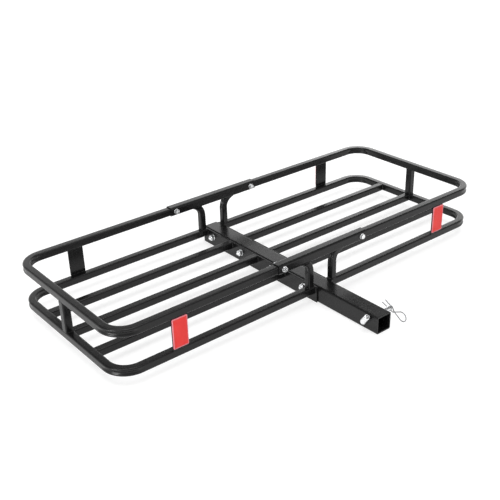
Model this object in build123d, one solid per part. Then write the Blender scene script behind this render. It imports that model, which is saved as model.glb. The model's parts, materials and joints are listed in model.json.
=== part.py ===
from build123d import *
import math
import os

# Hitch cargo carrier. Millimetres. The origin is the centre of the hitch-pin hole in the shank,
# -Y points into the receiver, +Y away from the vehicle, +X along the basket's length, +Z up.

# Shank: one square tube that runs under the whole basket
SHANK_SIZE = 50.8
SHANK_WALL = 4.0
SHANK_CORNER = 5.0
SHANK_FRONT_Y = -40.0
SHANK_REAR_Y = 706.0
CUT_EDGE = 0.5
PIN_HOLE_DIAMETER = 16.7

# Basket: two mirrored halves of square tube
BASKET_LENGTH = 1328.0
BASKET_WIDTH = 516.0
BASKET_CENTRE_Y = 445.0
RAIL_SIZE = 22.2
RAIL_WALL = 1.6
RAIL_CORNER = 4.0
RAIL_BEND_RADIUS = 59.0
DECK_Z = 23.6
BASKET_RISE = 110.0
UPPER_RAIL_GAP = 7.0
LEAST_INNER_CORNER = 0.8
SLAT_OFFSETS = {"front": -121.0, "middle": 0.0, "rear": 121.0}

# Side plates: they clamp the shank between the two halves
PLATE_THICKNESS = 4.0
PLATE_BOTTOM_Z = -25.0
PLATE_FRONT_Y = 182.0
PLATE_REAR_Y = 703.0
PLATE_EDGE = 0.8

# Sleeves that join the two upper rails, and the curved tubes that carry them
SLEEVE_CLEARANCE = 0.4
SLEEVE_WALL = 2.3
SLEEVE_CORNER = 5.7
SLEEVE_LENGTH = 326.0
SUPPORT_SIZE = 19.4
SUPPORT_WALL = 1.6
SUPPORT_CORNER = 4.0
SUPPORT_X = 43.0
SUPPORT_BEND_RADIUS = 39.5
SUPPORT_BEND_ANGLE = 60.0

# Reflectors and the plates behind them
REFLECTOR_X = 481.5
REFLECTOR_WIDTH = 45.2
REFLECTOR_HEIGHT = 84.2
REFLECTOR_DEPTH = 2.6
REFLECTOR_RIM = 2.6
REFLECTOR_CORNER = 3.0
REFLECTOR_RAISE = 2.8
REFLECTOR_BEVEL = 0.7
FIELD_SINK = 0.5
BACKING_WIDTH = 47.4
BACKING_THICKNESS = 3.0
BACKING_EDGE = 0.6

# Fasteners
BEAM_BOLT = {"shank": 10.0, "across_flats": 17.0, "head": 6.4, "nut": 8.4, "washer": 20.0, "washer_t": 1.8}
BEAM_BOLT_OFFSETS = (-210.0, -70.0, 70.0, 210.0)
BEAM_BOLT_Z = 5.0
SLEEVE_BOLT = {"shank": 8.0, "across_flats": 13.0, "head": 5.3, "nut": 6.8, "washer": 16.0, "washer_t": 1.6}
SLEEVE_BOLT_X = 145.0
BOLT_CLEARANCE = 0.4
THREAD_GAP = 0.05
THREAD_END = 5.0
THREAD_BEVEL = 1.0
CROWN_BEVEL = 0.14
CROWN_SLOPE = 0.5
BEAM_BOLT_TURNS = (-48.0, -16.0, 16.0, 48.0)
SLEEVE_BOLT_TURN = 11.0

# Hitch pin and the spring clip through its end
PIN_DIAMETER = 15.9
PIN_TIP_X = 73.0
PIN_BEND_RADIUS = 13.0
PIN_ELBOW_X = -41.0
PIN_HANDLE_LENGTH = 33.0
PIN_HANDLE_ANGLE = 55.0
PIN_CHAMFER = 1.6
CLIP_HOLE_X = 64.5
CLIP_HOLE_DIAMETER = 4.0
CLIP_WIRE = 3.0
CLIP_TILT = 21.0
CLIP_LOOP_CENTRE = (-43.0, 10.5)
CLIP_LOOP_RADIUS = 14.0
CLIP_LOOP_CORNERS = 4
CLIP_LOOP_EASE = 0.97
CLIP_CROSSING_GAP = 0.3
CLIP_TIP = (28.0, 0.0)
CLIP_NECK = (-14.0, 0.0)
CLIP_WAVE = [(-15.0, 1.8), (-4.5, 10.2), (5.3, 10.2), (11.4, 9.2), (23.7, 12.0)]
CLIP_WAVE_RADII = [7.0, 5.3, 5.3, 7.0]
CLIP_NECK_RADIUS = 5.3

# Worked out from the above
half_length = BASKET_LENGTH / 2
half_width = BASKET_WIDTH / 2
rail_mid_y = half_width - RAIL_SIZE / 2
lower_mid_z = DECK_Z - RAIL_SIZE / 2
upper_mid_z = DECK_Z + BASKET_RISE - RAIL_SIZE / 2
upper_bottom_z = upper_mid_z - RAIL_SIZE / 2
plate_face_x = SHANK_SIZE / 2 + PLATE_THICKNESS
sleeve_size = RAIL_SIZE + 2 * (SLEEVE_CLEARANCE + SLEEVE_WALL)
sides = {"left": -1, "right": 1}
ends = {"front": -1, "rear": 1}


def square_tube(path, size, wall, corner):
    """A rounded square tube swept along a path."""
    plane = path ^ 0
    outer = sweep(plane * RectangleRounded(size, size, corner), path=path)
    inner_size = size - 2 * wall
    inner_corner = max(corner - wall, LEAST_INNER_CORNER)
    inner = sweep(plane * RectangleRounded(inner_size, inner_size, inner_corner), path=path)
    return outer - inner


def straight_tube(start, end, size, wall, corner):
    return square_tube(Line(start, end), size, wall, corner)


def ease_cut_ends(tube, axis):
    """Takes the sharp edge off the outside of a tube's two cut ends."""
    for end in (0, -1):
        end_face = tube.faces().sort_by(axis)[end]
        tube = fillet(end_face.outer_wire().edges(), CUT_EDGE)
    return tube


def cylinder_x(radius, x_from, x_to, y, z):
    length = x_to - x_from
    return Pos((x_from + x_to) / 2, y, z) * Rot(0, 90, 0) * Cylinder(radius, length)


def cylinder_y(radius, y_from, y_to, x, z):
    length = y_to - y_from
    return Pos(x, (y_from + y_to) / 2, z) * Rot(90, 0, 0) * Cylinder(radius, length)


def save(node, shape):
    export_step(shape, f"parts/{node}.step")


def save_group(node, shapes):
    export_step(Compound(children=shapes), f"parts/{node}.step")


# ---- shank ----

def shank_tube():
    path = Line((0, SHANK_FRONT_Y, 0), (0, SHANK_REAR_Y, 0))
    tube = ease_cut_ends(square_tube(path, SHANK_SIZE, SHANK_WALL, SHANK_CORNER), Axis.Y)
    tube -= cylinder_x(PIN_HOLE_DIAMETER / 2, -SHANK_SIZE, SHANK_SIZE, 0, 0)
    for offset in BEAM_BOLT_OFFSETS:
        tube -= beam_bolt_hole(offset)
    return tube


def beam_bolt_hole(offset):
    radius = BEAM_BOLT["shank"] / 2 + BOLT_CLEARANCE
    return cylinder_x(radius, -SHANK_SIZE, SHANK_SIZE, BASKET_CENTRE_Y + offset, BEAM_BOLT_Z)


def side_plate(side):
    width = DECK_Z - PLATE_BOTTOM_Z
    length = PLATE_REAR_Y - PLATE_FRONT_Y
    centre = Pos(
        side * (SHANK_SIZE / 2 + PLATE_THICKNESS / 2),
        (PLATE_FRONT_Y + PLATE_REAR_Y) / 2,
        (DECK_Z + PLATE_BOTTOM_Z) / 2,
    )
    plate = Box(PLATE_THICKNESS, length, width)
    plate = centre * fillet(plate.edges(), PLATE_EDGE)
    for offset in BEAM_BOLT_OFFSETS:
        plate -= beam_bolt_hole(offset)
    return plate


# ---- basket halves ----

def rail_path(side, start_x, z):
    """The centreline of one U: out along the front, round the end, back along the rear."""
    end_x = half_length - RAIL_SIZE / 2
    corners = [(start_x, -rail_mid_y), (end_x, -rail_mid_y), (end_x, rail_mid_y), (start_x, rail_mid_y)]
    points = [(side * x, BASKET_CENTRE_Y + y, z) for x, y in corners]
    return FilletPolyline(*points, radius=RAIL_BEND_RADIUS)


def lower_rail(side):
    return square_tube(rail_path(side, plate_face_x, lower_mid_z), RAIL_SIZE, RAIL_WALL, RAIL_CORNER)


def upper_rail(side):
    path = rail_path(side, UPPER_RAIL_GAP / 2, upper_mid_z)
    rail = square_tube(path, RAIL_SIZE, RAIL_WALL, RAIL_CORNER)
    for end in ends.values():
        rail -= sleeve_bolt_hole(side, end)
    return rail


def slat(side, offset):
    y = BASKET_CENTRE_Y + offset
    start = (side * plate_face_x, y, lower_mid_z)
    end = (side * (half_length - RAIL_SIZE), y, lower_mid_z)
    return straight_tube(start, end, RAIL_SIZE, RAIL_WALL, RAIL_CORNER)


def end_post(side):
    x = side * (half_length - RAIL_SIZE / 2)
    bottom = (x, BASKET_CENTRE_Y, DECK_Z)
    top = (x, BASKET_CENTRE_Y, upper_bottom_z)
    return straight_tube(bottom, top, RAIL_SIZE, RAIL_WALL, RAIL_CORNER)


# ---- sleeves and supports ----

def sleeve_bolt_hole(side, end):
    y = BASKET_CENTRE_Y + end * rail_mid_y
    radius = SLEEVE_BOLT["shank"] / 2 + BOLT_CLEARANCE
    return cylinder_y(radius, y - sleeve_size, y + sleeve_size, side * SLEEVE_BOLT_X, upper_mid_z)


def rail_sleeve(end):
    y = BASKET_CENTRE_Y + end * rail_mid_y
    start = (-SLEEVE_LENGTH / 2, y, upper_mid_z)
    stop = (SLEEVE_LENGTH / 2, y, upper_mid_z)
    sleeve = ease_cut_ends(straight_tube(start, stop, sleeve_size, SLEEVE_WALL, SLEEVE_CORNER), Axis.X)
    for side in sides.values():
        sleeve -= sleeve_bolt_hole(side, end)
    return sleeve


def support(side, end):
    """A tube that rises from the lower rail and curves outwards up to the sleeve's underside."""
    y = BASKET_CENTRE_Y + end * rail_mid_y
    top_z = upper_mid_z - sleeve_size / 2
    lean = math.radians(SUPPORT_BEND_ANGLE)
    x = side * SUPPORT_X
    elbow_z = top_z - SUPPORT_BEND_RADIUS * (math.sin(lean) - math.tan(lean / 2))
    reach = 2 * SUPPORT_BEND_RADIUS
    beyond = (x + side * reach * math.sin(lean), y, elbow_z + reach * math.cos(lean))
    path = FilletPolyline((x, y, DECK_Z), (x, y, elbow_z), beyond, radius=SUPPORT_BEND_RADIUS)
    tube = square_tube(path, SUPPORT_SIZE, SUPPORT_WALL, SUPPORT_CORNER)
    height = top_z - DECK_Z
    below_sleeve = Box(4 * reach, 2 * SUPPORT_SIZE, height)
    return tube & Pos(x, y, DECK_Z + height / 2) * below_sleeve


# ---- reflectors ----

def reflector_backing(side, end):
    height = upper_bottom_z - DECK_Z
    y = BASKET_CENTRE_Y + end * (half_width - BACKING_THICKNESS / 2)
    plate = Box(BACKING_WIDTH, BACKING_THICKNESS, height)
    return Pos(side * REFLECTOR_X, y, DECK_Z + height / 2) * fillet(plate.edges(), BACKING_EDGE)


def reflector(side, end):
    """A shallow moulded tile with a raised, bevelled rim round a sunken field."""
    middle_z = (DECK_Z + upper_bottom_z) / 2 + REFLECTOR_RAISE
    face = Plane(
        origin=(side * REFLECTOR_X, BASKET_CENTRE_Y + end * half_width, middle_z),
        x_dir=(-end, 0, 0),
        z_dir=(0, end, 0),
    )
    outline = RectangleRounded(REFLECTOR_WIDTH, REFLECTOR_HEIGHT, REFLECTOR_CORNER)
    tile = extrude(face * outline, amount=REFLECTOR_DEPTH)
    front_edges = tile.faces().sort_by(Axis.Y)[-1 if end > 0 else 0].edges()
    tile = chamfer(front_edges, REFLECTOR_BEVEL)
    field_width = REFLECTOR_WIDTH - 2 * REFLECTOR_RIM
    field_height = REFLECTOR_HEIGHT - 2 * REFLECTOR_RIM
    field = RectangleRounded(field_width, field_height, REFLECTOR_BEVEL)
    sunken = extrude(face.offset(REFLECTOR_DEPTH - FIELD_SINK) * field, amount=REFLECTOR_DEPTH)
    return tile - sunken


# ---- fasteners ----

def fastener(bolt, seat_gap):
    """Bolt, nut and two washers on the Z axis; the stack between the washers is seat_gap long."""
    head_seat = seat_gap / 2 + bolt["washer_t"]
    nut_seat = -head_seat
    hexagon = RegularPolygon(bolt["across_flats"] / 2, 6, major_radius=False)
    corner = bolt["across_flats"] / math.sqrt(3)
    shank_end = nut_seat - bolt["nut"] - THREAD_END
    shank = Pos(0, 0, (head_seat + shank_end) / 2) * Cylinder(bolt["shank"] / 2, head_seat - shank_end)
    shank = chamfer(shank.edges().sort_by(Axis.Z)[0], THREAD_BEVEL)
    head = Pos(0, 0, head_seat) * extrude(hexagon, amount=bolt["head"])
    head &= Pos(0, 0, head_seat) * crown(corner, bolt["head"])
    nut = Pos(0, 0, nut_seat - bolt["nut"]) * extrude(hexagon, amount=bolt["nut"])
    nut &= Pos(0, 0, nut_seat) * Rot(180, 0, 0) * crown(corner, bolt["nut"])
    nut -= Pos(0, 0, nut_seat) * Cylinder(bolt["shank"] / 2 + THREAD_GAP, 4 * bolt["nut"])
    ring = Cylinder(bolt["washer"] / 2, bolt["washer_t"])
    ring -= Cylinder(bolt["shank"] / 2 + BOLT_CLEARANCE / 2, 2 * bolt["washer_t"])
    washer_z = seat_gap / 2 + bolt["washer_t"] / 2
    return shank + head, nut, [Pos(0, 0, washer_z) * ring, Pos(0, 0, -washer_z) * ring]


def crown(corner, height):
    """The cone that bevels the corners of a hexagon's outer face; its seat is at Z = 0."""
    bevel = CROWN_BEVEL * corner
    blank = Pos(0, 0, height / 2) * Cylinder(corner, height)
    return chamfer(blank.edges().sort_by(Axis.Z)[-1], CROWN_SLOPE * bevel, bevel)


def beam_fasteners():
    """Through bolts across both side plates and the shank: heads on the right, nuts on the left."""
    bolt, nut, washers = fastener(BEAM_BOLT, 2 * plate_face_x)
    bolts, nuts, rings = [], [], []
    for offset, turn in zip(BEAM_BOLT_OFFSETS, BEAM_BOLT_TURNS):
        here = Pos(0, BASKET_CENTRE_Y + offset, BEAM_BOLT_Z) * Rot(0, 90, 0) * Rot(0, 0, turn)
        bolts.append(here * bolt)
        nuts.append(here * nut)
        rings += [here * washer for washer in washers]
    return bolts, nuts, rings


def sleeve_fasteners():
    """One bolt through each sleeve and rail near each sleeve end: heads outside, nuts inside."""
    bolt, nut, washers = fastener(SLEEVE_BOLT, sleeve_size)
    bolts, nuts, rings = [], [], []
    for end in ends.values():
        for side in sides.values():
            here = Pos(side * SLEEVE_BOLT_X, BASKET_CENTRE_Y + end * rail_mid_y, upper_mid_z)
            here = here * Rot(-90 * end, 0, 0) * Rot(0, 0, SLEEVE_BOLT_TURN * side)
            bolts.append(here * bolt)
            nuts.append(here * nut)
            rings += [here * washer for washer in washers]
    return bolts, nuts, rings


# ---- hitch pin and clip ----

def clip_point(along, across, x=CLIP_HOLE_X):
    """A point in the clip's own directions: along its straight leg, and across it."""
    tilt = math.radians(CLIP_TILT)
    y = along * math.cos(tilt) - across * math.sin(tilt)
    z = along * math.sin(tilt) + across * math.cos(tilt)
    return Vector(x, y, z)


def hitch_pin():
    angle = math.radians(PIN_HANDLE_ANGLE)
    handle_end = (PIN_ELBOW_X, -PIN_HANDLE_LENGTH * math.cos(angle), PIN_HANDLE_LENGTH * math.sin(angle))
    path = FilletPolyline((PIN_TIP_X, 0, 0), (PIN_ELBOW_X, 0, 0), handle_end, radius=PIN_BEND_RADIUS)
    pin = sweep((path ^ 0) * Circle(PIN_DIAMETER / 2), path=path)
    for end_point in (path @ 0, path @ 1):
        end_face = pin.faces().sort_by_distance(end_point)[0]
        pin = chamfer(end_face.edges(), PIN_CHAMFER)
    along = clip_point(1, 0) - clip_point(0, 0)
    hole_plane = Plane(origin=clip_point(0, 0), z_dir=along)
    return pin - hole_plane * Cylinder(CLIP_HOLE_DIAMETER / 2, 2 * PIN_DIAMETER)


def clip_loop():
    """Corners of the loop: tangents to its circle, from the neck round to the wavy leg."""
    centre = Vector(*CLIP_LOOP_CENTRE)
    neck = centre - Vector(*CLIP_NECK)
    wave = centre - Vector(*CLIP_WAVE[0])
    first = math.atan2(neck.Y, neck.X) - math.asin(CLIP_LOOP_RADIUS / neck.length) - math.pi / 2
    last = math.atan2(wave.Y, wave.X) + math.asin(CLIP_LOOP_RADIUS / wave.length) + math.pi / 2
    step = (last - first) / CLIP_LOOP_CORNERS
    reach = CLIP_LOOP_RADIUS / math.cos(step / 2)
    turns = [first + (index + 0.5) * step for index in range(CLIP_LOOP_CORNERS)]
    return [centre + Vector(reach * math.cos(turn), reach * math.sin(turn)) for turn in turns]


def pin_clip():
    """One wire: straight leg, neck, loop, and the wavy leg, which crosses outside the straight one."""
    side_step = CLIP_WIRE + CLIP_CROSSING_GAP
    loop = clip_loop()
    points = [clip_point(*CLIP_TIP), clip_point(*CLIP_NECK)]
    for index, corner in enumerate(loop):
        shift = side_step * (index + 0.5) / len(loop)
        points.append(clip_point(corner.X, corner.Y, CLIP_HOLE_X + shift))
    points += [clip_point(along, across, CLIP_HOLE_X + side_step) for along, across in CLIP_WAVE]
    radii = [CLIP_NECK_RADIUS] + [CLIP_LOOP_RADIUS * CLIP_LOOP_EASE] * len(loop) + CLIP_WAVE_RADII
    path = FilletPolyline(*points, radius=radii)
    return sweep((path ^ 0) * Circle(CLIP_WIRE / 2), path=path)


def main():
    os.makedirs("parts", exist_ok=True)
    save("shank_tube", shank_tube())
    for side_name, side in sides.items():
        save(f"{side_name}_side_plate", side_plate(side))
        save(f"{side_name}_lower_rail", lower_rail(side))
        save(f"{side_name}_upper_rail", upper_rail(side))
        save(f"{side_name}_end_post", end_post(side))
        for slat_name, offset in SLAT_OFFSETS.items():
            save(f"{side_name}_{slat_name}_slat", slat(side, offset))
        for end_name, end in ends.items():
            save(f"{side_name}_{end_name}_support", support(side, end))
            save(f"{side_name}_{end_name}_reflector_plate", reflector_backing(side, end))
            save(f"{side_name}_{end_name}_reflector", reflector(side, end))
    for end_name, end in ends.items():
        save(f"{end_name}_rail_sleeve", rail_sleeve(end))
    for family, (bolts, nuts, rings) in {"beam": beam_fasteners(), "sleeve": sleeve_fasteners()}.items():
        save_group(f"{family}_bolts", bolts)
        save_group(f"{family}_nuts", nuts)
        save_group(f"{family}_washers", rings)
    save("hitch_pin", hitch_pin())
    save("pin_clip", pin_clip())


main()
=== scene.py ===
import json
import math
import random
from collections import namedtuple

import bpy
from mathutils import Matrix, Vector


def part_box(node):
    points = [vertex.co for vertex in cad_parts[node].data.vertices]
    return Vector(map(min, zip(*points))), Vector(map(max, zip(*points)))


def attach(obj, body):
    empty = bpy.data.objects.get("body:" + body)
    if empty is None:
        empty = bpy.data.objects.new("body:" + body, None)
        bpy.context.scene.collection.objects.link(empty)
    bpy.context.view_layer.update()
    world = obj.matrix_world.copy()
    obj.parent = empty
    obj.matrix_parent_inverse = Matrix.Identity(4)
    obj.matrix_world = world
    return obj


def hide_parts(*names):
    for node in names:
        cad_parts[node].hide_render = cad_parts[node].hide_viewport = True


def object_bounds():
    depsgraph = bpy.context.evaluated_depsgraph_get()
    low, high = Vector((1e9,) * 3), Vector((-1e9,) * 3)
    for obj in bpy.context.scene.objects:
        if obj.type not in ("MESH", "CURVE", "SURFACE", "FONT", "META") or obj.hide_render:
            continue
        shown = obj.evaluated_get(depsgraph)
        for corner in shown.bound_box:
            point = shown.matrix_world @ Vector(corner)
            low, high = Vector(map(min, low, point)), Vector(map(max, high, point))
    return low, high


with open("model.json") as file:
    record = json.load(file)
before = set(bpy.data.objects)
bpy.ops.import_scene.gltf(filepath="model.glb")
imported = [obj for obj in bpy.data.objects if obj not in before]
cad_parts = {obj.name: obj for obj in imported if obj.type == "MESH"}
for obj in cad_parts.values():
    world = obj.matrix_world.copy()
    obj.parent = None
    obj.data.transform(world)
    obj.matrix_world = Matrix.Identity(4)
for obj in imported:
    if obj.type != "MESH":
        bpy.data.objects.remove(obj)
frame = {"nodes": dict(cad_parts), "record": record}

# Hitch cargo carrier. Metres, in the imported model's frame: the origin is the hitch-pin hole's centre,
# -Y points into the receiver, +X along the basket, +Z up.

cad_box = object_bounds()
nodes = frame["nodes"]
scene = bpy.context.scene

SIDES = {"left": -1, "right": 1}
ENDS = {"front": -1, "rear": 1}

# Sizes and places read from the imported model's boxes
rail_low, rail_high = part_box("right_lower_rail")
support_low, support_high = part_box("right_front_support")
RAIL = rail_high.z - rail_low.z
DECK_Z = rail_high.z
HALF_LENGTH = rail_high.x
MID_Y = (rail_low.y + rail_high.y) / 2
SUPPORT = support_high.y - support_low.y
SLEEVE_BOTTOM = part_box("front_rail_sleeve")[0].z
UPPER_RAIL_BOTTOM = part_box("right_upper_rail")[0].z
PLATE_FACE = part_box("right_side_plate")[1].x

# Sizes and places set here
SUPPORT_X = 0.043        # a support's upright part, from the middle
RAIL_WALL = 0.0016
RAIL_CORNER = 0.0040
RAIL_BEND = 0.059        # radius of a bend's middle line
GROOVE_OUT = 0.0030      # how far a bend's outer wall is pressed in
GROOVE_IN = 0.0023       # and its inner wall
GROOVE_LEAD = 0.008      # a groove starts this far before its bend
GROOVE_SETTLE = 0.017    # and is full this far into it


# ---------------------------------------------------------------- meshes

def add_object(name, vertices, faces, material, body, smooth=True):
    mesh = bpy.data.meshes.new(name)
    mesh.from_pydata([tuple(v) for v in vertices], [], faces)
    mesh.polygons.foreach_set("use_smooth", [smooth] * len(mesh.polygons))
    mesh.materials.append(material)
    mesh.update()
    obj = bpy.data.objects.new(name, mesh)
    scene.collection.objects.link(obj)
    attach(obj, body)
    return obj


def weight_normals(obj):
    """Flat walls shade flat and the small corners take the turn."""
    modifier = obj.modifiers.new("normals", "WEIGHTED_NORMAL")
    modifier.mode = "FACE_AREA"
    modifier.weight = 50


class Build:
    """Collects the loops and caps of one piece's mesh."""

    def __init__(self):
        self.vertices = []
        self.faces = []

    def loops(self, loops, wrap=False, caps=False):
        """Quads between loops of the same count. wrap joins the last to the first; caps closes both ends."""
        start = len(self.vertices)
        count = len(loops[0])
        for loop in loops:
            self.vertices += [Vector(v) for v in loop]
        pairs = list(zip(range(len(loops) - 1), range(1, len(loops))))
        if wrap:
            pairs.append((len(loops) - 1, 0))
        for a, b in pairs:
            for i in range(count):
                j = (i + 1) % count
                self.faces.append((start + a * count + i, start + a * count + j,
                                   start + b * count + j, start + b * count + i))
        if caps:
            self.cap(start, count, flip=True)
            self.cap(start + (len(loops) - 1) * count, count)

    def cap(self, start, count, flip=False):
        centre = sum(self.vertices[start:start + count], Vector()) / count
        self.vertices.append(centre)
        middle = len(self.vertices) - 1
        for i in range(count):
            a, b = start + i, start + (i + 1) % count
            self.faces.append((b, a, middle) if flip else (a, b, middle))

    def make(self, name, material, body):
        return add_object(name, self.vertices, self.faces, material, body)


def smoothstep(t):
    t = min(max(t, 0.0), 1.0)
    return t * t * (3 - 2 * t)


# ---------------------------------------------------------------- materials

def new_material(name):
    material = bpy.data.materials.new(name)
    material.use_nodes = True
    tree = material.node_tree
    shader = tree.nodes["Principled BSDF"]
    coords = tree.nodes.new("ShaderNodeTexCoord")
    return material, tree, shader, coords


def noise_node(tree, coords, scale, detail=3.0, roughness=0.5, stretch=None):
    node = tree.nodes.new("ShaderNodeTexNoise")
    node.inputs["Scale"].default_value = scale
    node.inputs["Detail"].default_value = detail
    node.inputs["Roughness"].default_value = roughness
    source = coords.outputs["Object"]
    if stretch:
        mapping = tree.nodes.new("ShaderNodeMapping")
        mapping.inputs["Scale"].default_value = stretch
        tree.links.new(source, mapping.inputs["Vector"])
        source = mapping.outputs["Vector"]
    tree.links.new(source, node.inputs["Vector"])
    return node


def ramp_node(tree, source, stops):
    """stops: (place, colour) pairs."""
    node = tree.nodes.new("ShaderNodeValToRGB")
    elements = node.color_ramp.elements
    while len(elements) < len(stops):
        elements.new(0.5)
    for element, (place, colour) in zip(elements, stops):
        element.position = place
        element.color = (*colour, 1.0)
    tree.links.new(source, node.inputs["Fac"])
    return node


def range_node(tree, source, low, high):
    """Spreads the middle of a noise over low to high."""
    node = tree.nodes.new("ShaderNodeMapRange")
    node.inputs["From Min"].default_value = 0.3
    node.inputs["From Max"].default_value = 0.7
    node.inputs["To Min"].default_value = low
    node.inputs["To Max"].default_value = high
    tree.links.new(source, node.inputs["Value"])
    return node


def bump_chain(tree, shader, layers):
    """layers: (height socket, strength, distance)."""
    normal = None
    for height, strength, distance in layers:
        bump = tree.nodes.new("ShaderNodeBump")
        bump.inputs["Strength"].default_value = strength
        bump.inputs["Distance"].default_value = distance
        tree.links.new(height, bump.inputs["Height"])
        if normal is not None:
            tree.links.new(normal, bump.inputs["Normal"])
        normal = bump.outputs["Normal"]
    tree.links.new(normal, shader.inputs["Normal"])


def powder_coat():
    material, tree, shader, coords = new_material("powder_coat_black")
    cloud = noise_node(tree, coords, 9.0, 4.0)
    deep, pale = (0.0043, 0.0043, 0.0045), (0.0061, 0.0061, 0.0061)
    colour = ramp_node(tree, cloud.outputs["Fac"], [(0.3, deep), (0.7, pale)])
    tree.links.new(colour.outputs["Color"], shader.inputs["Base Color"])
    patch = noise_node(tree, coords, 60.0, 5.0, 0.6)
    rough = range_node(tree, patch.outputs["Fac"], 0.22, 0.29)
    tree.links.new(rough.outputs["Result"], shader.inputs["Roughness"])
    shader.inputs["Specular IOR Level"].default_value = 0.285
    peel = noise_node(tree, coords, 420.0, 2.0, 0.4)
    grain = noise_node(tree, coords, 2200.0, 1.0, 0.4)
    bump_chain(tree, shader, [(peel.outputs["Fac"], 0.10, 0.0003), (grain.outputs["Fac"], 0.05, 0.0001)])
    return material


def zinc(name, low, high, tint, stretch=None):
    material, tree, shader, coords = new_material(name)
    cloud = noise_node(tree, coords, 240.0, 4.0, 0.6)
    dark = tuple(c * 0.78 for c in tint)
    colour = ramp_node(tree, cloud.outputs["Fac"], [(0.3, dark), (0.65, tint)])
    tree.links.new(colour.outputs["Color"], shader.inputs["Base Color"])
    shader.inputs["Metallic"].default_value = 1.0
    streak = noise_node(tree, coords, 500.0, 3.0, 0.6, stretch)
    rough = range_node(tree, streak.outputs["Fac"], low, high)
    tree.links.new(rough.outputs["Result"], shader.inputs["Roughness"])
    bump_chain(tree, shader, [(streak.outputs["Fac"], 0.15, 0.00012)])
    return material


def moulded_plastic(name, low, high, roughness, level):
    material, tree, shader, coords = new_material(name)
    cloud = noise_node(tree, coords, 30.0, 3.0)
    colour = ramp_node(tree, cloud.outputs["Fac"], [(0.3, low), (0.7, high)])
    tree.links.new(colour.outputs["Color"], shader.inputs["Base Color"])
    shader.inputs["Roughness"].default_value = roughness
    shader.inputs["Specular IOR Level"].default_value = level
    ripple = noise_node(tree, coords, 300.0, 2.0)
    bump_chain(tree, shader, [(ripple.outputs["Fac"], 0.10, 0.0001)])
    return material


BLACK = powder_coat()
ZINC = zinc("zinc_plate", 0.18, 0.32, (0.94, 0.95, 0.96))
PIN_ZINC = zinc("pin_zinc_plate", 0.16, 0.28, (0.93, 0.94, 0.95), (0.15, 1.0, 1.0))
SPRING = zinc("spring_wire", 0.20, 0.32, (0.36, 0.365, 0.375))
RED = moulded_plastic("reflector_red", (0.68, 0.024, 0.021), (0.75, 0.036, 0.030), 0.30, 0.25)
# The rim's paler, pinker base colour is partly the rim's own plastic and partly painted sheen: the smooth
# rim's highlight is painted into its colour.
RED_RIM_PAINTED_SHEEN = moulded_plastic("reflector_rim_painted_sheen", (0.66, 0.17, 0.20), (0.74, 0.21, 0.24), 0.15, 0.5)

node_materials = {"powder_black": BLACK, "zinc": ZINC, "pin_zinc": PIN_ZINC, "spring_steel": SPRING,
                  "reflector_red": RED}
for row in frame["record"]["subparts"]:
    for material_slot in nodes[row["node"]].material_slots:
        material_slot.material = node_materials[row["material_slot"]]


# ---------------------------------------------------------------- bent rails

def rail_section(half, corner, press_out, press_in, corner_steps=6, wall_steps=14):
    """(outward, up) points of a rounded square, anticlockwise, with its two upright walls pressed in."""
    flat = half - corner
    points = []
    for i in range(wall_steps):
        v = -flat + 2 * flat * i / wall_steps
        points.append((half - press_out * math.cos(math.pi / 2 * v / flat) ** 2, v))
    points += corner_arc(flat, flat, corner, 0, corner_steps)
    points += [(flat, half), (flat / 3, half), (-flat / 3, half)]
    points += corner_arc(-flat, flat, corner, 90, corner_steps)
    for i in range(wall_steps):
        v = flat - 2 * flat * i / wall_steps
        points.append((-half + press_in * math.cos(math.pi / 2 * v / flat) ** 2, v))
    points += corner_arc(-flat, -flat, corner, 180, corner_steps)
    points += [(-flat, -half), (-flat / 3, -half), (flat / 3, -half)]
    points += corner_arc(flat, -flat, corner, 270, corner_steps)
    return points


def corner_arc(u, v, radius, start, steps):
    angles = [math.radians(start + 90 * i / steps) for i in range(steps)]
    return [(u + radius * math.cos(a), v + radius * math.sin(a)) for a in angles]


def rail_stations(side, start_x, box):
    """(centre, outward, press) along one U, from the front's inner end round to the rear's."""
    low, high = box
    front, rear = low.y + RAIL / 2, high.y - RAIL / 2
    far = max(abs(low.x), abs(high.x)) - RAIL / 2
    z = (low.z + high.z) / 2
    turn = far - RAIL_BEND
    out_x = Vector((side, 0, 0))
    approach = (0.012, 0.008, 0.004)

    def press(inside):
        return smoothstep((GROOVE_LEAD + inside) / (GROOVE_LEAD + GROOVE_SETTLE))

    stations = [(Vector((side * start_x, front, z)), Vector((0, -1, 0)), 0.0)]
    for end, y in ((-1, front), (1, rear)):
        centre = Vector((side * turn, y - end * RAIL_BEND, z))
        out_y = Vector((0, end, 0))
        straight_x = [(centre + out_y * RAIL_BEND - out_x * d, out_y, press(-d)) for d in approach]
        straight_y = [(centre + out_x * RAIL_BEND - out_y * d, out_x, press(-d)) for d in approach[::-1]]
        bend = []
        steps = 44
        for i in range(steps + 1):
            angle = math.pi / 2 * i / steps
            outward = out_y * math.cos(angle) + out_x * math.sin(angle)
            inside = min(angle, math.pi / 2 - angle) * RAIL_BEND
            bend.append((centre + outward * RAIL_BEND, outward, press(inside)))
        run = straight_x + bend + straight_y
        stations += run if end < 0 else run[::-1]
    stations.append((Vector((side * start_x, rear, z)), Vector((0, 1, 0)), 0.0))
    return stations


def rail(side_name, level):
    node = f"{side_name}_{level}_rail"
    side = SIDES[side_name]
    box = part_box(node)
    start_x = min(abs(box[0].x), abs(box[1].x))
    outer, inner = [], []
    for centre, outward, press in rail_stations(side, start_x, box):
        for loops, half, corner in ((outer, RAIL / 2, RAIL_CORNER),
                                    (inner, RAIL / 2 - RAIL_WALL, RAIL_CORNER - RAIL_WALL)):
            section = rail_section(half, corner, GROOVE_OUT * press, GROOVE_IN * press)
            loops.append([centre + outward * u + Vector((0, 0, v)) for u, v in section])
    build = Build()
    build.loops(outer + inner[::-1], wrap=True)
    piece = build.make(f"{node}_bent", BLACK, "carrier")
    weight_normals(piece)
    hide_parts(node)


for side_name in SIDES:
    for level in ("lower", "upper"):
        rail(side_name, level)


# ---------------------------------------------------------------- bent supports

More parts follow.
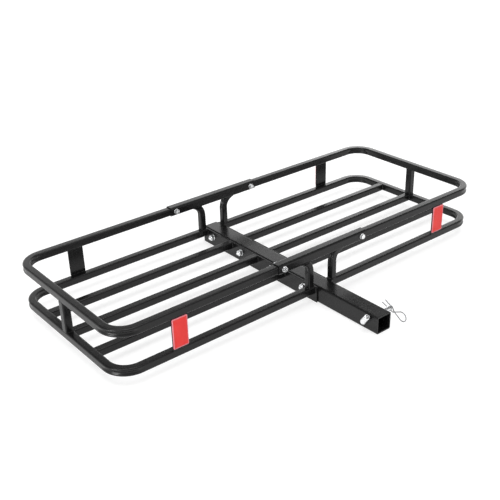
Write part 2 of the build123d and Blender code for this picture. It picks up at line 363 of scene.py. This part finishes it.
SUPPORT_BEND = 0.0395
SUPPORT_LEAN = math.radians(60)
SUPPORT_NARROWING = 0.09
SUPPORT_GROOVE = 0.8                    # share of the rails' groove depths
# Shares of the path: the groove starts before the bend, fills, and fades towards the sleeve
PRESS_LEAD, PRESS_RISE = 0.16, 0.22
PRESS_STOP, PRESS_FALL = 0.86, 0.12


def support_point(u, travel, rise):
    """(reach, height) on the path of a line at u beyond the bend's middle radius; travel runs from 0 to 1."""
    arc_z = rise - SUPPORT_BEND * math.sin(SUPPORT_LEAN)
    radius = SUPPORT_BEND + u
    full = math.asin(min(1.0, (rise - arc_z) / radius))
    turn = min(full, SUPPORT_LEAN)
    straight = max(0.0, rise - arc_z - radius * math.sin(turn)) / math.cos(SUPPORT_LEAN)
    total = arc_z + radius * turn + straight
    s = travel * total
    if s < arc_z:
        return -u, s
    if s < arc_z + radius * turn:
        angle = (s - arc_z) / radius
        return SUPPORT_BEND - radius * math.cos(angle), arc_z + radius * math.sin(angle)
    s -= arc_z + radius * turn
    reach = SUPPORT_BEND - radius * math.cos(turn) + s * math.sin(turn)
    return reach, arc_z + radius * math.sin(turn) + s * math.cos(turn)


def support(side_name, end_name):
    node = f"{side_name}_{end_name}_support"
    side = SIDES[side_name]
    low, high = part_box(node)
    y = (low.y + high.y) / 2
    rise = high.z - low.z
    arc_share = 1 - SUPPORT_BEND * math.sin(SUPPORT_LEAN) / rise
    outer, inner = [], []
    steps = 46
    for k in range(steps + 1):
        travel = k / steps
        press = smoothstep((travel - arc_share + PRESS_LEAD) / PRESS_RISE)
        press *= 1 - smoothstep((travel - PRESS_STOP) / PRESS_FALL)
        groove = SUPPORT_GROOVE * press
        narrow = 1 - SUPPORT_NARROWING * press
        for loops, half, corner in ((outer, SUPPORT / 2, RAIL_CORNER),
                                    (inner, SUPPORT / 2 - RAIL_WALL, RAIL_CORNER - RAIL_WALL)):
            loop = []
            for u, v in rail_section(half, corner, GROOVE_OUT * groove, GROOVE_IN * groove):
                reach, height = support_point(u, travel, rise)
                loop.append(Vector((side * (SUPPORT_X + reach), y + v * narrow, low.z + height)))
            loops.append(loop)
    build = Build()
    build.loops(outer + inner[::-1], wrap=True)
    piece = build.make(f"{node}_bent", BLACK, "carrier")
    weight_normals(piece)
    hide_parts(node)


for side_name in SIDES:
    for end_name in ENDS:
        support(side_name, end_name)


# ---------------------------------------------------------------- hitch pin and clip

PIN_RADIUS = 0.00795
PIN_TIP = 0.073
PIN_ELBOW = -0.041
PIN_HANDLE = (0.033, math.radians(55))
PIN_BEND = 0.013
CLIP_X = 0.0645
CLIP_HOLE = 0.0020
CLIP_WIRE = 0.0015
CLIP_TILT = math.radians(21)
CLIP_GAP = 0.0003                       # between the two legs where they cross


def fillet_path(points, radii, spacing):
    """Evenly stepped points along straight runs joined by arcs."""
    points = [Vector(p) for p in points]
    path = [points[0]]

    def straight(to):
        start = path[-1]
        count = max(1, round((to - start).length / spacing))
        path.extend(start.lerp(to, i / count) for i in range(1, count + 1))

    for before, corner, after, radius in zip(points, points[1:], points[2:], radii):
        back, ahead = (before - corner).normalized(), (after - corner).normalized()
        half = back.angle(ahead) / 2
        reach = radius / math.tan(half)
        start, stop = corner + back * reach, corner + ahead * reach
        centre = corner + (back + ahead).normalized() * (radius / math.sin(half))
        if (start - path[-1]).length > 1e-6:
            straight(start)
        turn = math.pi - 2 * half
        count = max(3, round(radius * turn / spacing))
        first, last = start - centre, stop - centre
        axis = first.cross(last).normalized()
        path.extend(centre + Matrix.Rotation(turn * i / count, 3, axis) @ first for i in range(1, count + 1))
    straight(points[-1])
    return path


def frames(path):
    """Directions across a path, carried along it without twisting."""
    tangents = []
    for i in range(len(path)):
        a, b = path[max(i - 1, 0)], path[min(i + 1, len(path) - 1)]
        tangents.append((b - a).normalized())
    side = tangents[0].orthogonal().normalized()
    result = []
    for i, tangent in enumerate(tangents):
        if i:
            side = (tangents[i - 1].rotation_difference(tangent) @ side)
        side = (side - tangent * side.dot(tangent)).normalized()
        result.append((tangent, side, tangent.cross(side)))
    return result


def rod_loops(path, radius, steps, start_profile, end_profile):
    """Profiles are (how far inside the end, radius) pairs, from the rim inwards along the rod."""
    turns = frames(path)

    def loop(centre, turn, r):
        angles = [2 * math.pi * i / steps for i in range(steps)]
        return [centre + (turn[1] * math.cos(a) + turn[2] * math.sin(a)) * r for a in angles]

    loops = [loop(path[0] + turns[0][0] * depth, turns[0], r) for depth, r in start_profile]
    reach_start = max(depth for depth, _ in start_profile)
    reach_end = max(depth for depth, _ in end_profile)
    for point, turn in zip(path, turns):
        if (point - path[0]).length > reach_start and (point - path[-1]).length > reach_end:
            loops.append(loop(point, turn, radius))
    loops += [loop(path[-1] - turns[-1][0] * depth, turns[-1], r) for depth, r in end_profile[::-1]]
    return loops


def hitch_pin():
    length, angle = PIN_HANDLE
    end = (PIN_ELBOW, -length * math.cos(angle), length * math.sin(angle))
    path = fillet_path([(PIN_TIP, 0, 0), (PIN_ELBOW, 0, 0), end], [PIN_BEND], 0.0015)
    dimple = [(0.0022, 0.0006), (0.0006, 0.0016), (0.0, 0.0019)]
    chamfer = [(0.0, PIN_RADIUS - 0.0021), (0.00025, PIN_RADIUS - 0.0015),
               (0.0014, PIN_RADIUS - 0.0003), (0.002, PIN_RADIUS)]
    build = Build()
    steps = 48
    build.loops(rod_loops(path, PIN_RADIUS, steps, dimple + chamfer, dimple + chamfer), caps=True)
    piece = build.make("hitch_pin_detail", PIN_ZINC, "hitch_pin")
    drill(piece)
    piece.data.set_sharp_from_angle(angle=math.radians(40))
    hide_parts("hitch_pin")


def drill(piece):
    """The clip's hole, cut straight through with a small countersink."""
    along = Vector((0, math.cos(CLIP_TILT), math.sin(CLIP_TILT)))
    place = Matrix.Translation((CLIP_X, 0, 0)) @ along.to_track_quat("Z", "Y").to_matrix().to_4x4()
    tool = Build()
    depth = PIN_RADIUS
    profile = [(-2 * depth, 0.0045), (-depth + 0.0001, CLIP_HOLE + 0.0005), (-depth + 0.0008, CLIP_HOLE)]
    profile += [(-z, r) for z, r in profile[::-1]]
    tool.loops([ring(r, z, place, 32) for z, r in profile], caps=True)
    cutter = tool.make("clip_hole_cutter", PIN_ZINC, "hitch_pin")
    modifier = piece.modifiers.new("hole", "BOOLEAN")
    modifier.operation = "DIFFERENCE"
    modifier.solver = "EXACT"
    modifier.object = cutter
    result = bpy.data.meshes.new_from_object(piece.evaluated_get(bpy.context.evaluated_depsgraph_get()))
    piece.modifiers.clear()
    piece.data = result
    bpy.data.objects.remove(cutter)


def clip_point(along, across, x=CLIP_X):
    """Millimetres along the clip's straight leg and across it."""
    y = along * math.cos(CLIP_TILT) - across * math.sin(CLIP_TILT)
    z = along * math.sin(CLIP_TILT) + across * math.cos(CLIP_TILT)
    return Vector((x, y / 1000, z / 1000))


def pin_clip():
    """One wire: straight leg, neck, loop, and the wavy leg, which crosses outside the straight one."""
    tip, neck, centre, loop_radius = (28, 0), (-14, 0), (-43, 10.5), 14
    wave = [(-15, 1.8), (-4.5, 10.2), (5.3, 10.2), (11.4, 9.2), (23.7, 12)]
    wave_radii = [7, 5.3, 5.3, 7]
    to_neck = (centre[0] - neck[0], centre[1] - neck[1])
    to_wave = (centre[0] - wave[0][0], centre[1] - wave[0][1])
    first = math.atan2(to_neck[1], to_neck[0]) - math.asin(loop_radius / math.hypot(*to_neck)) - math.pi / 2
    last = math.atan2(to_wave[1], to_wave[0]) + math.asin(loop_radius / math.hypot(*to_wave)) + math.pi / 2
    corners = 4
    step = (last - first) / corners
    reach = loop_radius / math.cos(step / 2)
    side_step = 2 * CLIP_WIRE + CLIP_GAP
    points = [clip_point(*tip), clip_point(*neck)]
    for index in range(corners):
        turn = first + (index + 0.5) * step
        points.append(clip_point(centre[0] + reach * math.cos(turn), centre[1] + reach * math.sin(turn),
                                 CLIP_X + side_step * (index + 0.5) / corners))
    points += [clip_point(along, across, CLIP_X + side_step) for along, across in wave]
    radii = [0.001 * r for r in [5.3] + [loop_radius * 0.97] * corners + wave_radii]
    path = fillet_path(points, radii, 0.0010)
    round_end = [(CLIP_WIRE * (1 - math.cos(a)), CLIP_WIRE * math.sin(a)) for a in (0.25, 0.6, 0.95, 1.3)]
    build = Build()
    build.loops(rod_loops(path, CLIP_WIRE, 20, round_end, round_end), caps=True)
    piece = build.make("pin_clip_wire", SPRING, "pin_clip")
    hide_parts("pin_clip")


# ---------------------------------------------------------------- fasteners

# Diameters, the head's and nut's heights, the washer's thickness, the thread's pitch
Bolt = namedtuple("Bolt", "shank across_flats head nut washer washer_t pitch")
BEAM_BOLT = Bolt(0.010, 0.017, 0.0064, 0.0084, 0.020, 0.0018, 0.0015)
SLEEVE_BOLT = Bolt(0.008, 0.013, 0.0053, 0.0068, 0.016, 0.0016, 0.00125)
THREAD_END = 0.005       # how far a bolt stands out of its nut
THREAD_RUN_IN = 0.0012   # how far inside the nut its thread starts
TURN_STEPS = 72
BEAM_SEAT = 0.0312       # from the stack's middle to a head's underside
SLEEVE_SEAT = 0.0154
BEAM_BOLT_Z = 0.005
# Along Y from the middle, and turned by degrees
BEAM_BOLT_PLACES = ((-0.210, -48), (-0.070, -16), (0.070, 16), (0.210, 48))
SLEEVE_BOLT_X = 0.145
SLEEVE_BOLT_TURN = 11    # degrees


def ring(radius, z, place, steps=TURN_STEPS):
    """A loop round Z; radius may be a function of the angle, z too."""
    loop = []
    for i in range(steps):
        angle = 2 * math.pi * i / steps
        r = radius(angle) if callable(radius) else radius
        height = z(angle) if callable(z) else z
        loop.append(place @ Vector((r * math.cos(angle), r * math.sin(angle), height)))
    return loop


def hexagon(across_flats):
    half = across_flats / 2
    sixth = math.pi / 3
    return lambda angle: half / math.cos((angle + sixth / 2) % sixth - sixth / 2)


def hex_side_loops(across_flats, low, high, place, crown_low, crown_high):
    """From the low rim to the high rim; a crown bevels the corners with a cone."""
    radius = hexagon(across_flats)
    crown = across_flats / 2 * 0.955
    slope = math.tan(math.radians(30))

    def drop(angle):
        return (radius(angle) - crown) * slope

    loops = []
    if crown_low:
        loops += [ring(crown, low, place), ring(radius, lambda a: low + drop(a), place)]
    else:
        loops.append(ring(radius, low, place))
    if crown_high:
        loops += [ring(radius, lambda a: high - drop(a), place), ring(crown, high, place)]
    else:
        loops.append(ring(radius, high, place))
    return loops


def bolt_mesh(build, bolt, seat, place):
    """Head from the seat outwards, with a washer face under it and a ring pressed into its top."""
    face = 0.0005
    top = seat + bolt.head
    inner = bolt.across_flats * 0.30
    face_radius = bolt.across_flats * 0.475
    loops = [ring(bolt.shank / 2, seat, place), ring(face_radius, seat, place),
             ring(face_radius, seat + face, place)]
    loops += hex_side_loops(bolt.across_flats, seat + face, top, place, False, True)
    loops += [ring(inner + 0.0006, top, place), ring(inner, top - 0.0004, place)]
    build.loops(loops)
    build.cap(len(build.vertices) - TURN_STEPS, TURN_STEPS)
    thread_stop = -seat - bolt.nut - THREAD_END
    thread_start = -seat - bolt.nut + THREAD_RUN_IN
    build.loops([ring(bolt.shank / 2, seat, place), ring(bolt.shank / 2, thread_start, place)])
    thread(build, bolt, thread_start, thread_stop, place)


def thread(build, bolt, start, stop, place):
    """A helical thread along -Z with a bevelled end."""
    outer = bolt.shank / 2
    depth = bolt.pitch * 0.58
    steps = 40
    per_turn = 10
    count = int(abs(stop - start) / bolt.pitch * per_turn)
    loops = []
    for k in range(count + 1):
        z = start + (stop - start) * k / count
        loop = []
        for i in range(steps):
            angle = 2 * math.pi * i / steps
            phase = (z / bolt.pitch + angle / (2 * math.pi)) % 1.0
            tooth = min(max(abs(phase - 0.5) * 2.6 - 0.15, 0.0), 1.0)
            run_in = smoothstep((start - z) / bolt.pitch)
            radius = outer - depth * tooth * run_in
            radius = min(radius, outer - depth + (z - stop) * 0.9)
            loop.append(place @ Vector((radius * math.cos(angle), radius * math.sin(angle), z)))
        loops.append(loop)
    build.loops(loops)
    build.cap(len(build.vertices) - steps, steps)


def nut_mesh(build, bolt, seat, place):
    """A nut below -seat, crowned on both faces, with a countersunk bore."""
    high, low = -seat, -seat - bolt.nut
    bore = bolt.shank / 2 + 0.00005
    sink = bolt.shank / 2 + 0.0006
    loops = [ring(bore, low + 0.0006, place), ring(sink, low, place)]
    loops += hex_side_loops(bolt.across_flats, low, high, place, True, True)
    loops += [ring(sink, high, place), ring(bore, high - 0.0006, place)]
    build.loops(loops, wrap=True)


def washer_mesh(build, bolt, middle, place):
    half, edge = bolt.washer_t / 2, 0.00035
    outer, inner = bolt.washer / 2, bolt.shank / 2 + 0.0002
    nip = edge * 0.3
    profile = [(inner, -half + edge), (inner + edge, -half), (outer - edge, -half),
               (outer - nip, -half + nip), (outer, -half + edge), (outer, half - edge),
               (outer - nip, half - nip), (outer - edge, half), (inner + edge, half), (inner, half - edge)]
    build.loops([ring(r, middle + z, place) for r, z in profile], wrap=True)


def finish_metal(piece, node):
    piece.data.set_sharp_from_angle(angle=math.radians(32))
    bevel = piece.modifiers.new("edges", "BEVEL")
    bevel.width = 0.00018
    bevel.segments = 2
    bevel.limit_method = "ANGLE"
    bevel.angle_limit = math.radians(28)
    bevel.harden_normals = True
    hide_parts(node)


def fastener_set(family, bolt, seat, places):
    """places: where each bolt's axis stands, +Z towards its head, with the stack's middle at the origin."""
    bolts, nuts, washers = Build(), Build(), Build()
    for place in places:
        bolt_mesh(bolts, bolt, seat, place)
        nut_mesh(nuts, bolt, seat, place)
        for sign in (-1, 1):
            washer_mesh(washers, bolt, sign * (seat - bolt.washer_t / 2), place)
    for build, kind in ((bolts, "bolts"), (nuts, "nuts"), (washers, "washers")):
        finish_metal(build.make(f"{family}_{kind}_detail", ZINC, "carrier"), f"{family}_{kind}")


def beam_places():
    return [Matrix.Translation((0, MID_Y + offset, BEAM_BOLT_Z)) @ Matrix.Rotation(math.radians(90), 4, "Y")
            @ Matrix.Rotation(math.radians(turn), 4, "Z") for offset, turn in BEAM_BOLT_PLACES]


def sleeve_places():
    places = []
    for end_name, end in ENDS.items():
        low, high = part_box(f"{end_name}_rail_sleeve")
        middle = (low + high) / 2
        for side in SIDES.values():
            spin = Matrix.Rotation(math.radians(SLEEVE_BOLT_TURN * side), 4, "Z")
            turn = Matrix.Rotation(math.radians(-90 * end), 4, "X") @ spin
            places.append(Matrix.Translation((side * SLEEVE_BOLT_X, middle.y, middle.z)) @ turn)
    return places


hitch_pin()
pin_clip()
fastener_set("beam", BEAM_BOLT, BEAM_SEAT, beam_places())
fastener_set("sleeve", SLEEVE_BOLT, SLEEVE_SEAT, sleeve_places())


# ---------------------------------------------------------------- reflectors

RIM = 0.0026
FIELD_SINK = 0.0005
FIELD_LAP = 0.0005       # how far the field runs under the rim
FIELD_SHELL = 0.0003
PRISM = 0.0019           # side of the small triangles in a reflector's field
PRISM_STEP = 0.00017     # between the three heights of their corners


def rounded_outline(width, height, corner, depth, place, steps=6):
    loop = []
    for sx, sz, start in ((1, 1, 0), (-1, 1, 90), (-1, -1, 180), (1, -1, 270)):
        for i in range(steps + 1):
            angle = math.radians(start + 90 * i / steps)
            x = sx * (width / 2 - corner) + corner * math.cos(angle)
            y = sz * (height / 2 - corner) + corner * math.sin(angle)
            loop.append(place @ Vector((x, y, depth)))
    return loop


def reflector(side_name, end_name):
    node = f"{side_name}_{end_name}_reflector"
    end = ENDS[end_name]
    low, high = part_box(node)
    width, thick, height = high - low
    back_y = low.y if end > 0 else high.y
    turn = Matrix(((-end, 0, 0), (0, 0, end), (0, 1, 0))).to_4x4()
    place = Matrix.Translation(((low.x + high.x) / 2, back_y, (low.z + high.z) / 2)) @ turn
    field_depth = thick - FIELD_SINK
    outlines = [(0.0, 0.0, 0.003), (0.0, thick - 0.0009, 0.003), (0.0003, thick - 0.0003, 0.0027),
                (0.0009, thick, 0.0022), (RIM - 0.0006, thick, 0.0012), (RIM - 0.0002, thick - 0.0002, 0.001),
                (RIM, field_depth - 0.0006, 0.001)]
    build = Build()
    build.loops([rounded_outline(width - 2 * inset, height - 2 * inset, corner, depth, place)
                 for inset, depth, corner in outlines], caps=True)
    # The rim's material holds painted sheen in its pink colour.
    rim = build.make(f"{node}_rim", RED_RIM_PAINTED_SHEEN, "carrier")
    rim.data.set_sharp_from_angle(angle=math.radians(50))
    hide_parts(node)
    trim = 2 * (RIM - FIELD_LAP)
    field(f"{node}_field", width - trim, height - trim, field_depth, place)


def field(name, width, height, depth, place):
    """Cube-corner relief: a triangular lattice whose points stand at three heights in turn."""
    step_up = PRISM * math.sqrt(3) / 2
    columns = int(width / PRISM / 2) + 20
    rows = int(height / step_up / 2)
    index, vertices, faces = {}, [], []
    for j in range(-rows, rows + 1):
        for i in range(-columns * 2, columns * 2 + 1):
            x, y = PRISM * (i + j / 2), step_up * j
            if abs(x) > width / 2:
                continue
            index[i, j] = len(vertices)
            vertices.append(place @ Vector((x, y, depth - PRISM_STEP * ((i - j) % 3))))
    for (i, j), a in index.items():
        right, up, up_left = index.get((i + 1, j)), index.get((i, j + 1)), index.get((i - 1, j + 1))
        if right is not None and up is not None:
            faces.append((a, right, up))
        if up is not None and up_left is not None:
            faces.append((a, up, up_left))
    piece = add_object(name, vertices, faces, RED, "carrier", smooth=False)
    solid = piece.modifiers.new("solid", "SOLIDIFY")
    solid.thickness = FIELD_SHELL
    solid.offset = -1.0


for side_name in SIDES:
    for end_name in ENDS:
        reflector(side_name, end_name)


# ---------------------------------------------------------------- weld beads

RIPPLE = 0.0017          # length of one ripple
BEAD_STEP = 0.0004
# Radii
FILLET = 0.0021
SEAM = 0.0024            # fills the step between two flush tubes
TOP_SEAM = 0.0012
LAP = 0.0019
THIN = 0.0018
TACK = 0.0017
# Lengths, as halves
RAIL_FLAT = 0.0077       # across a rail
SUPPORT_FLAT = 0.007     # across a support
TACK_HALF = 0.005
# Places
TACK_SPACING = 0.0155
CORNER_CLEAR = 0.003     # an upright fillet stops this far from a tube's top and bottom
SEAM_SINK = 0.0022       # a filled seam's centre, inside the tube's top or bottom
FACE_SINK = 0.0016       # a bead's centre, inside the face that it runs along
JOINT_SINK = 0.0012      # a face bead's centre, inside the rail that it joins
HEAD_END, HEAD_IN, HEAD_OUT = 0.0443, 0.0465, 0.077    # along X, a support's end under the sleeve


def bead(build, start, end, crown, radius, rng):
    """A rippled bead from start to end; crown points out of the joint, where the ripples' arcs lead."""
    start, end, crown = Vector(start), Vector(end), Vector(crown).normalized()
    along = (end - start).normalized()
    across = along.cross(crown)
    length = (end - start).length
    steps = max(int(length / BEAD_STEP), 8)
    count = 12
    phase = rng.random()
    wobble = rng.uniform(0, 6.28)
    loops = []
    for k in range(steps + 1):
        s = length * k / steps
        taper = math.sqrt(max(0.0, 1 - (2 * s / length - 1) ** 8))
        width = radius * (0.25 + 0.75 * taper) * (1 + 0.06 * math.sin(s / 0.004 + wobble))
        loop = []
        for i in range(count):
            angle = 2 * math.pi * i / count
            lag = (1 - math.cos(angle)) * 0.0009
            wave = ((s + lag) / RIPPLE + phase) % 1.0
            scale = width * (0.90 + 0.16 * math.sin(math.pi * wave))
            loop.append(start + along * s + (crown * math.cos(angle) + across * math.sin(angle)) * scale)
        loops.append(loop)
    build.loops(loops, caps=True)


def bead_x(build, x, y, z, half, crown, radius, rng):
    bead(build, (x - half, y, z), (x + half, y, z), crown, radius, rng)


def bead_y(build, x, y, z, half, crown, radius, rng):
    bead(build, (x, y - half, z), (x, y + half, z), crown, radius, rng)


def upright_fillets(build, x, y_middle, crown_x, rng):
    """One each side of a tube, along its wall's flat part."""
    low, high = DECK_Z - RAIL + CORNER_CLEAR, DECK_Z - CORNER_CLEAR
    for turn in (-1, 1):
        y = y_middle + turn * RAIL / 2
        bead(build, (x, y, low), (x, y, high), (crown_x, turn, 0), FILLET, rng)


def slat_beads(build, side, y_middle, rng):
    """Where a floor tube meets the end rail: two upright fillets and a filled seam above and below."""
    x = side * (HALF_LENGTH - RAIL)
    upright_fillets(build, x, y_middle, -side, rng)
    for z, up in ((DECK_Z - SEAM_SINK, 1), (DECK_Z - RAIL + SEAM_SINK, -1)):
        bead_y(build, x + side * FACE_SINK, y_middle, z, RAIL_FLAT, (0, 0, up), SEAM, rng)


def plate_beads(build, side, y_middle, rng):
    """Where a floor tube or a lower rail meets the side plate."""
    top_in, top_sink = 0.0004, 0.0008
    x = side * PLATE_FACE
    upright_fillets(build, x, y_middle, side, rng)
    bead_y(build, x, y_middle, DECK_Z - RAIL, RAIL_FLAT, (side, 0, -1), LAP, rng)
    bead_y(build, x - side * top_in, y_middle, DECK_Z - top_sink, RAIL_FLAT, (0, 0, 1), TOP_SEAM, rng)


def post_beads(build, side, rng):
    x = side * (HALF_LENGTH - RAIL / 2)
    half = RAIL / 2
    for z, up in ((DECK_Z, 1), (UPPER_RAIL_BOTTOM, -1)):
        for turn in (-1, 1):
            bead_x(build, x, MID_Y + turn * half, z, RAIL_FLAT, (0, turn, up), FILLET, rng)
            face_x = x + turn * (half - FACE_SINK)
            bead_y(build, face_x, MID_Y, z - up * JOINT_SINK, RAIL_FLAT, (turn, 0, 0), FILLET, rng)


def support_beads(build, side, y_middle, rng):
    """A support's foot on the lower rail, and its slanting end under the sleeve."""
    x = side * SUPPORT_X
    half = SUPPORT / 2
    for turn in (-1, 1):
        y = y_middle + turn * half
        bead_x(build, x, y, DECK_Z, SUPPORT_FLAT, (0, turn, 1), THIN, rng)
        bead_y(build, x + turn * half, y_middle, DECK_Z, SUPPORT_FLAT, (turn, 0, 1), THIN, rng)
        bead(build, (side * HEAD_IN, y, SLEEVE_BOTTOM), (side * HEAD_OUT, y, SLEEVE_BOTTOM),
             (0, turn, -1), THIN, rng)
    bead_y(build, side * HEAD_END, y_middle, SLEEVE_BOTTOM, SUPPORT_FLAT, (-side, 0, -1), THIN, rng)


def backing_beads(build, end, box, rng):
    """Three tacks inside and a full bead outside, at the plate's foot and head."""
    low, high = box
    inner_y = high.y if end < 0 else low.y
    outer_y = low.y if end < 0 else high.y
    middle = (low.x + high.x) / 2
    inset = 0.001
    lap_y = outer_y - end * 0.0019
    for z, up in ((low.z, 1), (high.z, -1)):
        for offset in (-TACK_SPACING, 0.0, TACK_SPACING):
            bead_x(build, middle + offset, inner_y, z, TACK_HALF, (0, -end, up), TACK, rng)
        lap_z = z - up * inset
        bead(build, (low.x + inset, lap_y, lap_z), (high.x - inset, lap_y, lap_z), (0, end, 0), LAP, rng)


def half_welds(side_name):
    """Every bead of one half, as one piece."""
    name = f"{side_name}_weld_beads"
    side = SIDES[side_name]
    build, rng = Build(), random.Random(name)
    for slat in ("front_slat", "middle_slat", "rear_slat"):
        low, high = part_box(f"{side_name}_{slat}")
        slat_beads(build, side, (low.y + high.y) / 2, rng)
        plate_beads(build, side, (low.y + high.y) / 2, rng)
    low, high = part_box(f"{side_name}_lower_rail")
    for y in (low.y + RAIL / 2, high.y - RAIL / 2):
        plate_beads(build, side, y, rng)
        support_beads(build, side, y, rng)
    post_beads(build, side, rng)
    for end_name, end in ENDS.items():
        backing_beads(build, end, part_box(f"{side_name}_{end_name}_reflector_plate"), rng)
    piece = build.make(name, BLACK, "carrier")


for side_name in SIDES:
    half_welds(side_name)


# ---------------------------------------------------------------- floor, light, camera

# name, place, width, height, radiance
SOFTBOXES = [
    ("left_strip", (-2.89, -0.18, 0.54), 1.05, 0.61, 16.0),
    ("right", (3.33, 0.44, 0.79), 2.28, 1.40, 1.9),
    ("back", (0.00, 3.68, 0.88), 2.28, 1.58, 0.8),
    ("back_right", (1.93, 2.98, 1.14), 1.75, 1.58, 0.95),
    ("right_back", (2.89, 2.28, 0.79), 1.40, 1.40, 1.75),
]
LIGHT_TARGET_Z = 0.1
# The studio's brightness by height: sine of the elevation, share of SKY_PEAK
SKY_PEAK = 3.2
SKY = [(0.42, 0.30), (0.52, 0.07), (0.83, 0.07), (0.91, 1.0)]
FLOOR_GREY = 0.40
FLOOR_GLOW = 0.68        # the floor is a lit panel, which keeps the shadows faint
CAMERA_AT = (-1.4239, -1.2699, 1.1739)
CAMERA_YAW, CAMERA_PITCH, CAMERA_ROLL = -38.69, -27.16, -1.59    # degrees
CAMERA_LENS = 60.43      # mm, on a sensor of 36 mm


def floor():
    size = 14.0
    z = cad_box[0].z
    mesh = bpy.data.meshes.new("floor")
    corners = [(-size, -size, z), (size, -size, z), (size, size, z), (-size, size, z)]
    mesh.from_pydata(corners, [], [(0, 1, 2, 3)])
    obj = bpy.data.objects.new("floor", mesh)
    scene.collection.objects.link(obj)
    material, _, shader, _ = new_material("floor_pale")
    shader.inputs["Base Color"].default_value = (FLOOR_GREY, FLOOR_GREY, FLOOR_GREY, 1)
    shader.inputs["Roughness"].default_value = 0.9
    shader.inputs["Emission Color"].default_value = (1, 1, 1, 1)
    shader.inputs["Emission Strength"].default_value = FLOOR_GLOW
    mesh.materials.append(material)


def area_light(name, location, width, height, radiance):
    data = bpy.data.lights.new(name, "AREA")
    data.shape = "RECTANGLE"
    data.size = width
    data.size_y = height
    data.energy = radiance * math.pi * width * height
    obj = bpy.data.objects.new(name, data)
    scene.collection.objects.link(obj)
    obj.location = location
    aim = Vector((0, MID_Y, LIGHT_TARGET_Z)) - Vector(location)
    obj.rotation_euler = aim.to_track_quat("-Z", "Y").to_euler()


def world_light():
    world = bpy.data.worlds.new("studio")
    scene.world = world
    world.use_nodes = True
    tree = world.node_tree
    background = tree.nodes["Background"]
    coords = tree.nodes.new("ShaderNodeTexCoord")
    split = tree.nodes.new("ShaderNodeSeparateXYZ")
    tree.links.new(coords.outputs["Generated"], split.inputs[0])
    ramp = ramp_node(tree, split.outputs["Z"], [(place, (share,) * 3) for place, share in SKY])
    ramp.color_ramp.interpolation = "EASE"
    tree.links.new(ramp.outputs["Color"], background.inputs["Color"])
    background.inputs["Strength"].default_value = SKY_PEAK


def camera():
    yaw, pitch, roll = math.radians(CAMERA_YAW), math.radians(CAMERA_PITCH), math.radians(CAMERA_ROLL)
    forward = Vector((-math.sin(yaw) * math.cos(pitch), math.cos(yaw) * math.cos(pitch), math.sin(pitch)))
    level = Vector((math.cos(yaw), math.sin(yaw), 0))
    up = level.cross(forward)
    right = level * math.cos(roll) + up * math.sin(roll)
    top = up * math.cos(roll) - level * math.sin(roll)
    matrix = Matrix((right, top, -forward)).transposed().to_4x4()
    matrix.translation = Vector(CAMERA_AT)
    data = bpy.data.cameras.new("camera")
    data.lens = CAMERA_LENS
    data.sensor_width = 36.0
    data.clip_end = 50
    obj = bpy.data.objects.new("camera", data)
    scene.collection.objects.link(obj)
    obj.matrix_world = matrix
    scene.camera = obj


floor()
world_light()
for light in SOFTBOXES:
    area_light(*light)
camera()
scene.view_settings.view_transform = "Standard"
